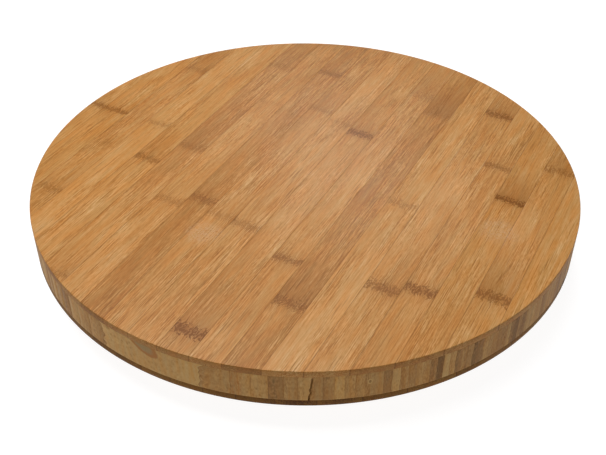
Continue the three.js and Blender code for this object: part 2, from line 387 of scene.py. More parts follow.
def worn_and_sheen_patches(s, color):
    """Paler, greyer, speckled patches on the top: wear, and painted sheen."""
    speckle = s.noise(s.position(), (900, 900, 900), 2.0)
    edge = s.noise(s.position(), (60, 60, 60), 2.0)
    for x, y, radius in WORN_AND_SHEEN_PATCHES:
        middle = {0: s.position(), 1: (x, y, BOARD_TOP)}
        distance = s.node("ShaderNodeVectorMath", middle, operation="DISTANCE").outputs["Value"]
        away = s.weighted(-0.4, (distance, 1 / radius), (edge, 0.8))
        patch = s.product(s.step(away, 1.0, 0.3), s.step(speckle, 0.35, 0.65))
        color = s.mixed(s.product(patch, 0.5), color, WORN_AND_SHEEN_COLOR)
    return color


def core_blemishes(s, color):
    """The scoop in the front strip, open at its top, the growth node and the pale flaw further round."""
    x, y, z = s.node("ShaderNodeSeparateXYZ", {"Vector": s.position()}).outputs
    ripple = s.noise(s.position(), (300, 300, 300), 2.0)

    def oval(centre_x, centre_z, half_width, half_height, lean=0.0):
        """Distance from a leaning oval's middle, 1 on its outline, as seen from the front."""
        rise = s.math("SUBTRACT", z, centre_z)
        across = s.math("DIVIDE", s.weighted(-centre_x, (x, 1.0), (rise, lean)), half_width)
        up = s.math("DIVIDE", rise, half_height)
        squares = s.math("ADD", s.product(across, across), s.product(up, up))
        return s.weighted(-0.1, (s.math("SQRT", squares), 1.0), (ripple, 0.2))

    front = s.step(y, -0.1 * BOARD_RADIUS, -0.2 * BOARD_RADIUS)
    scoop = oval(SCOOP_PLACE, CORE_TOP, SCOOP_HALF_WIDTH, SCOOP_DEPTH, SCOOP_LEAN)
    inside = s.product(s.step(scoop, 1.1, 0.9), front)
    brim = s.product(inside, s.step(scoop, 0.5, 0.85))
    color = s.mixed(s.product(inside, 0.8), color, SCOOP_COLOR)
    color = s.mixed(s.product(brim, 0.75), color, SCOOP_BRIM)
    past = s.math("DIVIDE", s.math("ABSOLUTE", s.math("SUBTRACT", x, NODE_PLACE)), NODE_HALF_WIDTH)
    dashes = s.step(s.noise(s.position(), (900, 900, 130), 1.0), 0.45, 0.65)
    node = s.product(s.step(past, 1.0, 0.3), dashes, front)
    color = s.mixed(s.product(node, 0.5), color, SCOOP_BRIM)
    flaw = oval(FLAW_PLACE, CORE_TOP - FLAW_DROP, FLAW_HALF_WIDTH, FLAW_HALF_HEIGHT)
    ring = s.product(s.step(flaw, 1.2, 0.95), front)
    heart = s.product(s.step(flaw, 0.7, 0.45), front)
    color = s.mixed(s.product(ring, 0.45), color, OLIVE[3])
    return s.mixed(s.product(heart, 0.6), color, OLIVE[0])


def galvanised(name, color, roughness):
    """Zinc-coated sheet steel with a soft spangle and rolling marks."""
    s = Shader(name)
    place = s.position()
    spangle = s.node("ShaderNodeTexVoronoi", {"Vector": place, "Scale": 160.0}).outputs["Color"]
    crystal = s.node("ShaderNodeSeparateColor", {"Color": spangle}).outputs[0]
    rolled = s.noise(place, (40, 900, 40), 2.0)
    dull = s.noise(place, (60, 60, 60), 4.0)
    shade = s.weighted(0.1, (crystal, 0.35), (dull, 0.5), (rolled, 0.15))
    darker = tuple(0.72 * level for level in color)
    tint = s.ramp(shade, [(0.2, darker), (0.8, color)])
    rough = s.weighted(roughness - 0.12, (crystal, 0.1), (dull, 0.16))
    relief = s.weighted(0.0, (rolled, 0.4), (dull, 0.6))
    return s.finish(Base_Color=tint, Metallic=1.0, Roughness=rough, Normal=s.bump(relief, 0.04 * MM, 0.6))


def polished(name, color):
    """Bearing steel with a thin film of grease."""
    s = Shader(name)
    film = s.noise(s.position(), (700, 700, 700), 3.0)
    tint = s.mixed(s.step(film, 0.4, 0.75), color, tuple(0.82 * level for level in color))
    rough = s.weighted(0.06, (film, 0.2))
    return s.finish(Base_Color=tint, Metallic=1.0, Roughness=rough)


def moulded(name, color, roughness, grain_size):
    """Moulded rubber or nylon with a fine matt texture and a little dust."""
    s = Shader(name)
    place = s.position()
    pebble = s.noise(place, (1 / grain_size,) * 3, 2.0)
    dust = s.step(s.noise(place, (90, 90, 90), 4.0), 0.45, 0.75)
    lighter = tuple(level * 1.8 + 0.012 for level in color)
    tint = s.mixed(s.product(dust, 0.5), color, lighter)
    rough = s.weighted(roughness - 0.08, (pebble, 0.08), (dust, 0.1))
    return s.finish(Base_Color=tint, Roughness=rough, Normal=s.bump(pebble, 0.06 * MM, 0.5))


FIBRE = srgb(120, 68, 8)
UMBER_FIBRE = srgb(76, 40, 8)

# Palettes, from the darkest shade to the palest.
# The umber palette is a darker honey for the bottom ply: painted shade, for the shade under the board's
# edge.
SHADED_UMBER = [srgb(98, 60, 14), srgb(122, 79, 25), srgb(145, 99, 39), srgb(165, 121, 60)]
HONEY = [srgb(130, 80, 28), srgb(162, 106, 44), srgb(188, 132, 68), srgb(213, 167, 110)]
OLIVE = [srgb(100, 68, 30), srgb(160, 114, 64), srgb(192, 145, 86), srgb(217, 177, 114)]

# The colour of the worn patches, paler and greyer: partly wear, partly painted sheen.
WORN_AND_SHEEN_COLOR = srgb(194, 158, 120)
SCOOP_COLOR = srgb(150, 124, 86)
SCOOP_BRIM = srgb(178, 108, 46)
FACE_BAMBOO = bamboo("bamboo_face", HONEY, FIBRE, blemish=worn_and_sheen_patches)
CORE_BAMBOO = bamboo(
    "bamboo_core", OLIVE, FIBRE, contrast=0.5, glue=0.5, specular=0.12, blemish=core_blemishes,
)
# The bottom ply takes the darker umber palette and fibre: painted shade under the board.
SHADED_BOTTOM_BAMBOO = bamboo("bamboo_bottom_shaded", SHADED_UMBER, UMBER_FIBRE, specular=0.12)
BASE_BAMBOO = bamboo("bamboo_base", HONEY, FIBRE)
ZINC_SHEET = galvanised("zinc_sheet", (0.62, 0.64, 0.66), 0.42)
ZINC_SCREW = galvanised("zinc_screw", (0.70, 0.71, 0.72), 0.30)
BALL_STEEL = polished("ball_steel", (0.76, 0.77, 0.79))
NYLON = moulded("black_nylon", (0.022, 0.022, 0.025), 0.5, 0.25 * MM)
RUBBER = moulded("black_rubber", (0.014, 0.014, 0.015), 0.8, 0.4 * MM)

# ---- Shape helpers ----


def add_piece(name, bm, material, body, node, sharp=35):
    """A finished piece from a bmesh: smooth sides, flat caps, its material, body and CAD node."""
    mesh = bpy.data.meshes.new(name)
    bmesh.ops.recalc_face_normals(bm, faces=bm.faces)
    bm.to_mesh(mesh)
    bm.free()
    mesh.set_sharp_from_angle(angle=math.radians(sharp))
    mesh.materials.append(material)
    piece = bpy.data.objects.new(name, mesh)
    SCENE.collection.objects.link(piece)
    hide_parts(node)
    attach(piece, body)
    return piece


def side_faces(bm, outlines, closed=False):
    """Smooth quads between each outline and the next, and back to the first if closed."""
    loops = [[bm.verts.new(point) for point in outline] for outline in outlines]
    pairs = list(zip(loops, loops[1:] + loops[:1])) if closed else list(zip(loops, loops[1:]))
    for lower, upper in pairs:
        count = len(lower)
        for i in range(count):
            j = (i + 1) % count
            bm.faces.new((lower[i], lower[j], upper[j], upper[i])).smooth = True
    return loops


def stacked(bm, outlines):
    """A solid through outlines of equal length, each a list of points, with a flat cap on each end."""
    loops = side_faces(bm, outlines)
    for cap in (loops[0], loops[-1]):
        bm.faces.new(cap).smooth = False


def circle(radius, height, segments, centre=(0, 0)):
    """Points round a level circle."""
    return [
        (centre[0] + radius * math.cos(2 * math.pi * i / segments),
         centre[1] + radius * math.sin(2 * math.pi * i / segments), height)
        for i in range(segments)
    ]


def eased_hole(radius, bottom, top, ease, segments, centre):
    """A cutter for a round hole from bottom to top, flared at both ends."""
    flare = radius + ease + MM
    levels = [(flare, bottom - MM), (radius, bottom + ease), (radius, top - ease), (flare, top + MM)]
    cutter = bmesh.new()
    stacked(cutter, [circle(r, z, segments, centre) for r, z in levels])
    return cutter


def centre_of(node):
    """The middle of a CAD node's box."""
    low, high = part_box(node)
    return (low + high) / 2


def rounded_edge(radius, steps=3):
    """(inset, distance below the edge) pairs from the side of a solid over its rounded edge."""
    turns = [math.pi / 2 * i / steps for i in range(steps + 1)]
    return [(radius * (1 - math.cos(t)), radius * (1 - math.sin(t))) for t in turns]


def disc_profile(radius, bottom, top, bottom_edge, top_edge):
    """(radius, height) pairs up the side of a disc with rounded edges."""
    lower = [(radius - inset, bottom + rise) for inset, rise in reversed(rounded_edge(bottom_edge))]
    upper = [(radius - inset, top - drop) for inset, drop in rounded_edge(top_edge)]
    return lower + upper


def cut_out(bm, cutters):
    """bm with each cutter bmesh cut out of it, as a new bmesh."""
    mesh = bpy.data.meshes.new("blank")
    bmesh.ops.recalc_face_normals(bm, faces=bm.faces)
    bm.to_mesh(mesh)
    bm.free()
    blank = bpy.data.objects.new("blank", mesh)
    SCENE.collection.objects.link(blank)
    scrap = [blank]
    for cutter in cutters:
        tool_mesh = bpy.data.meshes.new("cutter")
        bmesh.ops.recalc_face_normals(cutter, faces=cutter.faces)
        cutter.to_mesh(tool_mesh)
        cutter.free()
        tool = bpy.data.objects.new("cutter", tool_mesh)
        SCENE.collection.objects.link(tool)
        scrap.append(tool)
        boolean = blank.modifiers.new("cut", "BOOLEAN")
        boolean.object = tool
        boolean.operation = "DIFFERENCE"
        boolean.solver = "EXACT"
    depsgraph = bpy.context.evaluated_depsgraph_get()
    evaluated = blank.evaluated_get(depsgraph)
    result = bmesh.new()
    result.from_mesh(evaluated.to_mesh())
    evaluated.to_mesh_clear()
    for item in scrap:
        data = item.data
        bpy.data.objects.remove(item)
        bpy.data.meshes.remove(data)
    return result


# ---- Bamboo strips ----

# How much darker the cut edges of the strips are than their faces.
CUT_SHADE = 0.2

# How strongly a cut edge takes its tint: the bottom ply and the base, and the core.
DISC_CUT = 0.85
CORE_CUT = 0.65

# Standard deviations of the random strips' shades, and of how much paler one edge is than the other.
TONE_SPREAD = 0.2
LEAN_SPREAD = 0.15
CORE_TONE_SPREAD = 0.35
CORE_LEAN_SPREAD = 0.3

# What a strip without growth-node marks gets: a mark with no force.
NO_MARK = (1.0, 0.0, 1.0, 0.0)


class Strip:
    """One bamboo strip: the lines it lies between, its shade and its growth-node marks."""

    def __init__(self, low, high, tones, marks=()):
        self.low = low
        self.high = high
        self.far, self.near, self.lean = tones
        self.marks = [(place * MM, force, spread, shade) for place, force, spread, shade in marks]
        self.offset = Vector((RNG.uniform(0, 9), RNG.uniform(0, 9), RNG.uniform(0, 9)))

    def lane(self, across):
        """-1 at the strip's low edge and 1 at its high edge."""
        return (2 * across - self.low - self.high) / (self.high - self.low)

    def tone(self, across, along):
        """The strip's shade at a place on it."""
        share = (along / BOARD_RADIUS + 1) / 2
        return self.near + (self.far - self.near) * share + self.lean / 2 * self.lane(across)

    def splits(self):
        """Places along the strip half way between neighbouring marks."""
        places = sorted(mark[0] for mark in self.marks)
        return [(a + b) / 2 for a, b in zip(places, places[1:])]


def random_marks(reach):
    """Growth-node marks 150 to 250 mm apart along a strip."""
    marks = []
    place = -reach + RNG.uniform(10, 190)
    while place < reach:
        marks.append((place, RNG.uniform(0.45, 0.9), RNG.uniform(1, 1.5), RNG.uniform(0, 0.5)))
        place += RNG.uniform(150, 250)
    return marks


def random_strips(joints, radius, most_marks=None):
    """A strip between each two joints, with its own shade and its own marks."""
    edges = [-radius, *joints, radius]
    strips = []
    for low, high in zip(edges, edges[1:]):
        tones = (RNG.gauss(0, TONE_SPREAD), RNG.gauss(0, TONE_SPREAD), RNG.gauss(0, LEAN_SPREAD))
        strips.append(Strip(low, high, tones, random_marks(radius / MM)[:most_marks]))
    return strips


def slice_faces(bm, axis, places):
    """Cuts the faces of bm along planes square to an axis, without opening it."""
    normal = Vector((0, 0, 0))
    normal[axis] = 1
    for place in places:
        bmesh.ops.bisect_plane(
            bm, geom=bm.verts[:] + bm.edges[:] + bm.faces[:], plane_co=normal * place, plane_no=normal,
            dist=1e-7,
        )


def paint_strips(piece, strips, across_axis=0, cut=1.0, squeeze=(1, 1, 1)):
    """Writes the attributes that the bamboo material reads. The grain runs along the other flat axis.

    cut is how strongly the cut edges take their tint. squeeze is how much finer the pattern is across the
    grain, along it and upright.
    """
    mesh = piece.data
    along_axis = 1 - across_axis
    corners = {"lane": [], "tone": [], "mark_gap": []}
    faces = {"mark_force": [], "mark_shade": [], "cut": []}
    grain = []
    for polygon in mesh.polygons:
        centre = polygon.center
        strip = next((s for s in strips if centre[across_axis] <= s.high), strips[-1])
        place, force, spread, shade = min(
            strip.marks, key=lambda mark: abs(mark[0] - centre[along_axis]), default=NO_MARK,
        )
        flat = abs(polygon.normal.z) > 0.5
        faces["mark_force"].append(force)
        faces["mark_shade"].append(shade)
        faces["cut"].append(0.0 if flat else cut)
        for vertex in polygon.vertices:
            point = mesh.vertices[vertex].co
            across = point[across_axis]
            along = point[along_axis]
            squeezed = Vector((across * squeeze[0], along * squeeze[1], point.z * squeeze[2]))
            grain.extend(strip.offset + squeezed)
            corners["lane"].append(strip.lane(across))
            corners["tone"].append(strip.tone(across, along) - (0 if flat else CUT_SHADE))
            corners["mark_gap"].append((along - place) / spread)
    mesh.attributes.new("grain", "FLOAT_VECTOR", "CORNER").data.foreach_set("vector", grain)
    for name, values in corners.items():
        mesh.attributes.new(name, "FLOAT", "CORNER").data.foreach_set("value", values)
    for name, values in faces.items():
        mesh.attributes.new(name, "FLOAT", "FACE").data.foreach_set("value", values)


# ---- Board ----

FACE_STRIP_WIDTH = 21.5 * MM
RIM_STEP = math.radians(1)
RIM_EDGE = 0.5 * MM
JOINT_EASE = 0.04 * MM
GLUE_EASE = 0.05 * MM
GLUE_EASE_HEIGHT = 0.15 * MM
DISC_STEPS = 360


def band_outline(low, high, radius, height, steps):
    """Points round the part of a disc that lies between two lines across X."""
    right_angle = math.acos(min(high / radius, 1))
    left_angle = math.acos(max(low / radius, -1))
    far = [right_angle + (left_angle - right_angle) * i / steps for i in range(steps + 1)]
    near = [-angle for angle in reversed(far)]
    if left_angle > math.pi - 1e-6:
        near = near[1:]
    if right_angle < 1e-6:
        near = near[:-1]
    return [(radius * math.cos(a), radius * math.sin(a), height) for a in far + near]


def face_strip_piece(node, index, strip):
    """One top strip: eased along its glued edges, rounded where it meets the rim."""
    bm = bmesh.new()
    first = index == 0
    last = index == len(FACE_STRIPS) - 1
    left_angle = math.acos(max(strip.low / BOARD_RADIUS, -1))
    spread = left_angle - math.acos(min(strip.high / BOARD_RADIUS, 1))
    steps = max(3, round(spread / RIM_STEP))
    rings = [(GLUE_EASE, 0.0, CORE_TOP), (0.0, 0.0, CORE_TOP + GLUE_EASE_HEIGHT)]
    for inset, drop in rounded_edge(RIM_EDGE):
        rings.append((inset, JOINT_EASE * inset / RIM_EDGE, BOARD_TOP - drop))
    outlines = []
    for rim_inset, joint_inset, height in rings:
        radius = BOARD_RADIUS - rim_inset
        low = -radius if first else strip.low + joint_inset
        high = radius if last else strip.high - joint_inset
        outlines.append(band_outline(low, high, radius, height, steps))
    stacked(bm, outlines)
    slice_faces(bm, 1, strip.splits())
    name = node.replace("face_strip", "top_strip")
    piece = add_piece(name, bm, FACE_BAMBOO, "turntable", node)
    paint_strips(piece, [strip])


def top_ply():
    """The top strips, one piece for each CAD node."""
    last = len(FACE_STRIPS) - 1
    for index, node in enumerate(FACE_STRIPS):
        low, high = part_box(node)
        # The two outermost strips were as wide as the rest before the board was cut round.
        start = high.x - FACE_STRIP_WIDTH if index == 0 else low.x
        end = low.x + FACE_STRIP_WIDTH if index == last else high.x
        strip = Strip(start, end, STRIP_TONES[index], STRIP_MARKS[index])
        face_strip_piece(node, index, strip)


def strip_joints():
    """Where the joints between the top strips cross X."""
    return [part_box(node)[1].x for node in FACE_STRIPS[:-1]]


def laminated_disc(name, profile, joints, material, body, node, cutters=(), most_marks=None):
    """A disc glued up from strips that run along Y."""
    bm = bmesh.new()
    stacked(bm, [circle(radius, height, DISC_STEPS) for radius, height in profile])
    if cutters:
        bm = cut_out(bm, cutters)
    slice_faces(bm, 0, joints)
    strips = random_strips(joints, max(radius for radius, _ in profile), most_marks)
    piece = add_piece(name, bm, material, body, node)
    paint_strips(piece, strips, cut=DISC_CUT)


# How far to the right of the top ply's joints the bottom ply's joints lie.
BOTTOM_JOINT_SHIFT = 7 * MM


def bottom_ply():
    """The bottom ply: one piece, painted as strips laid like the top ones, in darker bamboo that is painted
    shade.
    """
    profile = disc_profile(BOARD_RADIUS, BOARD_BOTTOM, CORE_BOTTOM, RIM_EDGE, GLUE_EASE)
    joints = [joint + BOTTOM_JOINT_SHIFT for joint in strip_joints()]
    laminated_disc(
        "bottom_ply_strips", profile, joints, SHADED_BOTTOM_BAMBOO, "turntable", "bottom_ply",
    )


CRACKED_JOINT = 6
CRACK_GAP = 0.7 * MM
CRACK_DEPTH = 1.3 * MM
CRACK_WANDER = 1.6 * MM
GROOVE_GAP = 0.08 * MM
GROOVE_DEPTH = 0.08 * MM
GROOVE_END = 2.5 * MM
JOINT_SWAY = 0.35 * MM
RUN_OUT_SWAY = 3.5 * MM
RUN_OUT_SHIFT = -3.3 * MM
CORE_ROWS = 16

# How the joints wander on the rim: waves per radian round it, and the heights of the waves.
SWAY_WAVES = 30
SWAY_HEIGHT = 7 * MM
WANDER_HEIGHT = 4 * MM

# The height over which the crack leans by CRACK_WANDER, and how far round, in radians, it and the run-out
# reach.
CRACK_LEAN_HEIGHT = 12 * MM
CRACK_REACH = 0.012
RUN_OUT_REACH = 0.03
FLARE_HEIGHT = 1.5 * MM

# The grain of the core's rim is finer along the strips and longer upright than the top's.
CORE_SQUEEZE = (1, 10, 0.25)


def core_joints():
    """Where the joints between the core strips cross Y, from the front."""
    joints = []
    place = CORE_FIRST_JOINT
    while place < BOARD_RADIUS - 1 * MM:
        joints.append(place)
        place += CORE_PITCH
    return joints


def core_columns(joints, side):
    """(place along Y, groove depth) of each upright line on one half of the rim, from the front."""
    columns = []
    edges = [-BOARD_RADIUS, *joints, BOARD_RADIUS]
    for number, (low, high) in enumerate(zip(edges, edges[1:])):
        start = math.asin(low / BOARD_RADIUS)
        end = math.asin(high / BOARD_RADIUS)
        steps = max(1, round((end - start) / RIM_STEP))
        if number == 0:
            columns.append((low, 0.0))
        else:
            cracked = side > 0 and number == CRACKED_JOINT + 1
            gap = CRACK_GAP if cracked else GROOVE_GAP
            depth = CRACK_DEPTH if cracked else GROOVE_DEPTH
            columns += [(low - gap / 2, 0.0), (low, depth), (low + gap / 2, 0.0)]
        for i in range(1, steps):
            columns.append((BOARD_RADIUS * math.sin(start + (end - start) * i / steps), 0.0))
    return columns


def stray_joints(mesh):
    """Makes the core's joints on the rim wander, most of all where the front strip's long face runs out."""
    run_out = math.acos(-CORE_FIRST_JOINT / BOARD_RADIUS)
    crack = math.acos(-(CORE_FIRST_JOINT + CORE_PITCH * CRACKED_JOINT) / BOARD_RADIUS)
    middle = (CORE_TOP + CORE_BOTTOM) / 2
    for vertex in mesh.vertices:
        x, y, z = vertex.co
        radius = math.hypot(x, y)
        angle = math.atan2(x, -y)
        sway = JOINT_SWAY * noise.noise(Vector((angle * SWAY_WAVES, z / SWAY_HEIGHT, 3)))
        wander = noise.noise(Vector((1, z / WANDER_HEIGHT, 6))) + (z - middle) / CRACK_LEAN_HEIGHT
        sway += CRACK_WANDER * wander * math.exp(-((angle - crack) / CRACK_REACH) ** 2)
        closeness = math.exp(-((abs(angle) - run_out) / RUN_OUT_REACH) ** 2)
        scallop = noise.noise(Vector((math.copysign(5, angle), z / WANDER_HEIGHT, 8)))
        flare = math.copysign(math.exp((z - CORE_TOP) / FLARE_HEIGHT), angle)
        sway += (RUN_OUT_SWAY * (scallop + flare) + RUN_OUT_SHIFT) * closeness
        angle += sway / BOARD_RADIUS
        vertex.co = (radius * math.sin(angle), -radius * math.cos(angle), z)


def core_panel():
    """The core: one solid whose rim shows the ends of the cross strips, with a fine groove at each joint.

    The grooves close towards the top ply.
    """
    joints = core_joints()
    right = [(y, depth, 1) for y, depth in core_columns(joints, 1)]
    left = [(y, depth, -1) for y, depth in core_columns(joints, -1)]
    columns = right + [(BOARD_RADIUS, 0.0, 1)] + left[:0:-1]
    span = CORE_TOP - CORE_BOTTOM
    heights = [CORE_BOTTOM, CORE_BOTTOM + GLUE_EASE_HEIGHT]
    heights += [CORE_BOTTOM + span * i / CORE_ROWS for i in range(1, CORE_ROWS)]
    heights += [CORE_TOP - GLUE_EASE_HEIGHT, CORE_TOP]
    outlines = []
    for height in heights:
        ease = GLUE_EASE if height in (CORE_BOTTOM, CORE_TOP) else 0.0
        outline = []
        closing = min(1.0, (CORE_TOP - height) / GROOVE_END)
        for y, depth, side in columns:
            angle = math.asin(y / BOARD_RADIUS)
            radius = BOARD_RADIUS - depth * closing - ease
            outline.append((side * radius * math.cos(angle), radius * math.sin(angle), height))
        outlines.append(outline)
    bm = bmesh.new()
    stacked(bm, outlines)
    edges = [joints[0] - CORE_PITCH, *joints, joints[-1] + CORE_PITCH]
    strips = []
    for number, (low, high) in enumerate(zip(edges, edges[1:])):
        tone = CORE_TONES[number] if number < len(CORE_TONES) else RNG.gauss(0, CORE_TONE_SPREAD)
        strips.append(Strip(low, high, (tone, tone, RNG.gauss(0, CORE_LEAN_SPREAD))))
    piece = add_piece("core_cross_strips", bm, CORE_BAMBOO, "turntable", "core_panel", 50)
    paint_strips(piece, strips, across_axis=1, cut=CORE_CUT, squeeze=CORE_SQUEEZE)
    stray_joints(piece.data)


# ---- Bearing ----

BEARING_BOTTOM = BASE_TOP
BEARING_HEIGHT = BOARD_BOTTOM - BASE_TOP
SHEET = 1.2 * MM
PLATE_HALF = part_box("lower_bearing_plate")[1].x
PLATE_CORNER = 8 * MM
SCREW_PLACE = 66 * MM
SCREW_HOLE = 2.3 * MM
BEND_REACH = 0.8 * MM
ROUND_STEPS = 192
BALL_NODES = nodes_named("bearing_ball_")
BALL_CIRCLE = centre_of(BALL_NODES[0]).x
BALL_HEIGHT = centre_of(BALL_NODES[0]).z
BALL_RADIUS = 2.75 * MM
POCKET_CLEARANCE = 0.3 * MM

# Centrelines of the pressed sheets, from the flat margin inwards: radius and height above the base, in mm.
TRACK = [
    (60, 0), (56.9, 0), (55.1, 1.3), (53.5, 1.3), (51.5, 0), (48.5, 0), (46.5, 1.3), (44.9, 1.3), (43.1, 0),
]
COLLAR = [(17.2, 0.6), (15.6, 2.2), (15.6, 5.8), (16.4, 6.6), (20.5, 6.6)]
SUNK_RIM = [(26, 7.4), (22.5, 4.8), (16.9, 4.8)]


def square_radius(angle, half, corner):
    """Distance from the centre to the outline of a rounded square."""
    x, y = abs(math.cos(angle)), abs(math.sin(angle))
    flat = half / max(x, y)
    inner = half - corner
    if min(x, y) * flat <= inner:
        return flat
    middle = inner * (x + y)
    return middle + math.sqrt(middle ** 2 - 2 * inner ** 2 + corner ** 2)


def sheet_faces(centreline):
    """The two faces of a bent sheet, each a list of (radius, height), with softened bends."""
    line = [Vector((r * MM, h * MM)) for r, h in centreline]
    soft = [line[0]]
    for before, bend, after in zip(line, line[1:], line[2:]):
        reach = min(BEND_REACH, (before - bend).length * 0.4, (after - bend).length * 0.4)
        start = bend + (before - bend).normalized() * reach
        end = bend + (after - bend).normalized() * reach
        for i in range(4):
            t = i / 3
            soft.append(start * (1 - t) ** 2 + bend * 2 * t * (1 - t) + end * t ** 2)
    soft.append(line[-1])
    faces = ([], [])
    for i, point in enumerate(soft):
        along = (soft[min(i + 1, len(soft) - 1)] - soft[max(i - 1, 0)]).normalized()
        square = Vector((along.y, -along.x)) * SHEET / 2
        faces[0].append(point + square)
        faces[1].append(point - square)
    return faces


def pressed_plate(name, centreline, body, node):
    """A square pressed plate: flat margin with four screw holes, ball track and centre hole."""
    upper, lower = sheet_faces(centreline)
    angles = [2 * math.pi * i / ROUND_STEPS for i in range(ROUND_STEPS)]
    edge = 0.2 * MM

    def square_ring(inset, height):
        radii = [square_radius(a, PLATE_HALF, PLATE_CORNER) - inset for a in angles]
        return [(r * math.cos(a), r * math.sin(a), BEARING_BOTTOM + height) for r, a in zip(radii, angles)]

    high, low = upper[0].y, lower[0].y
    rise = math.copysign(edge, high - low)
    outlines = [circle(r, BEARING_BOTTOM + h, ROUND_STEPS) for r, h in reversed(lower)]
    outlines += [square_ring(edge, low), square_ring(0, low + rise)]
    outlines += [square_ring(0, high - rise), square_ring(edge, high)]
    outlines += [circle(r, BEARING_BOTTOM + h, ROUND_STEPS) for r, h in upper]
    bm = bmesh.new()
    side_faces(bm, outlines, closed=True)
    cutters = []
    for x, y in ((1, 1), (-1, 1), (-1, -1), (1, -1)):
        cutter = bmesh.new()
        place = (x * SCREW_PLACE, y * SCREW_PLACE)
        bottom, top = BEARING_BOTTOM - 2 * MM, BOARD_BOTTOM + 2 * MM
        stacked(cutter, [circle(SCREW_HOLE, bottom, 32, place), circle(SCREW_HOLE, top, 32, place)])
        cutters.append(cutter)
    bm = cut_out(bm, cutters)
    add_piece(name, bm, ZINC_SHEET, body, node, 40)


def bearing_plates():
    """The two pressed plates: the lower one's collar is rolled over the upper one's sunk rim."""
    sheet_middle = SHEET / MM / 2
    height = BEARING_HEIGHT / MM
    lower = [(r, sheet_middle + h) for r, h in TRACK] + COLLAR
    upper = [(r, height - sheet_middle - h) for r, h in TRACK] + SUNK_RIM
    pressed_plate("lower_pressed_plate", lower, "base", "lower_bearing_plate")
    pressed_plate("upper_pressed_plate", upper, "turntable", "upper_bearing_plate")


def balls():
    """A steel ball at each CAD ball."""
    for node in BALL_NODES:
        centre = centre_of(node)
        place = Matrix.Translation((centre.x, centre.y, BALL_HEIGHT))
        bm = bmesh.new()
        bmesh.ops.create_icosphere(bm, subdivisions=3, radius=BALL_RADIUS, matrix=place)
        for face in bm.faces:
            face.smooth = True
        name = node.replace("bearing_ball", "steel_ball")
        add_piece(name, bm, BALL_STEEL, "ball_cage", node, 60)


def retainer():
    """The moulded ring that spaces the balls, with a rounded pocket for each."""
    low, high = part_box("ball_retainer")
    outer = high.x
    inner = 2 * BALL_CIRCLE - outer
    ease = 0.3 * MM
    section = [
        (inner + ease, low.z), (outer - ease, low.z), (outer, low.z + ease), (outer, high.z - ease),
        (outer - ease, high.z), (inner + ease, high.z), (inner, high.z - ease), (inner, low.z + ease),
    ]
    bm = bmesh.new()
    side_faces(bm, [circle(r, z, ROUND_STEPS) for r, z in section], closed=True)
    pocket = BALL_RADIUS + POCKET_CLEARANCE
    cutters = [eased_hole(pocket, low.z, high.z, ease, 32, centre_of(node)) for node in BALL_NODES]
    bm = cut_out(bm, cutters)
    add_piece("nylon_retainer", bm, NYLON, "ball_cage", "ball_retainer", 40)


# ---- Screws ----

SCREW_HEAD = 3.8 * MM
SCREW_HEAD_HEIGHT = 2 * MM
SCREW_CORE = 1.25 * MM
SCREW_THREAD = 1.75 * MM
SCREW_NECK = 1.5 * MM
THREAD_PITCH = 1.6 * MM
TIP = 3 * MM
TIP_RADIUS = 0.05 * MM
HEAD_RIM = 0.25 * MM
RECESS_ARM = 1.9 * MM
RECESS_HALF_WIDTH = 0.42 * MM
RECESS_DEPTH = 1.2 * MM
RECESS_END_SLOPE = 0.5 * MM
RECESS_SIDE_SLOPE = 0.12 * MM


def head_height(radius):
    """Height of the domed head above its seat at a distance from its middle."""
    share = min(radius / SCREW_HEAD, 1)
    return SCREW_HEAD_HEIGHT * (1 - 0.35 * share ** 2 - 0.65 * share ** 10)


def recess(x, y):
    """How deep the cross-shaped driver recess is at a point on the head."""
    def arm(along, across):
        reach = max(0.0, min(1.0, (RECESS_ARM - abs(along)) / RECESS_END_SLOPE))
        width = max(0.0, min(1.0, (RECESS_HALF_WIDTH - abs(across)) / RECESS_SIDE_SLOPE))
        return reach * width
    return RECESS_DEPTH * max(arm(x, y), arm(y, x))


def screw_piece(node, seat, direction, length, body):
    """A pan-head wood screw: domed head with a cross recess, and a helical thread down to the tip."""
    centre = centre_of(node)
    segments = 48
    rows = 60
    rings = 30
    angles = [2 * math.pi * i / segments for i in range(segments)]
    outlines = []
    for i in range(rows + 1):
        depth = length * (1 - i / rows)
        taper = min(1.0, (length - depth) / TIP)
        ring = []
        for a in angles:
            turn = (depth / THREAD_PITCH + a / (2 * math.pi) * direction) % 1.0
            crest = max(0.0, 1 - abs(turn - 0.5) * 4)
            cut = 1.0 if depth > SCREW_NECK else 0.0
            radius = (SCREW_CORE + (SCREW_THREAD - SCREW_CORE) * crest * cut) * taper + TIP_RADIUS
            ring.append((radius * math.cos(a), radius * math.sin(a), -depth))
        outlines.append(ring)
    for radius, height in ((SCREW_HEAD - HEAD_RIM, 0.0), (SCREW_HEAD, HEAD_RIM)):
        outlines.append([(radius * math.cos(a), radius * math.sin(a), height) for a in angles])
    for i in range(rings):
        radius = SCREW_HEAD * (1 - i / rings)
        ring = []
        for a in angles:
            x, y = radius * math.cos(a), radius * math.sin(a)
            ring.append((x, y, max(HEAD_RIM * 1.2, head_height(radius)) - recess(x, y)))
        outlines.append(ring)
    placed = []
    for ring in outlines:
        placed.append([
            (centre.x + x, centre.y + y * direction, seat + z * direction) for x, y, z in ring
        ])
    bm = bmesh.new()
    stacked(bm, placed)
    add_piece(node.replace("screw", "pan_screw"), bm, ZINC_SCREW, body, node, 30)


def screws():
    """The base screws, heads up, and the board screws, heads down."""
    for node in nodes_named("base_screw_"):
        low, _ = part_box(node)
        seat = BASE_TOP + SHEET
        screw_piece(node, seat, 1, seat - low.z, "base")
    for node in nodes_named("board_screw_"):
        _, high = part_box(node)
        seat = BOARD_BOTTOM - SHEET
        screw_piece(node, seat, -1, high.z - seat, "turntable")


# ---- Base ----

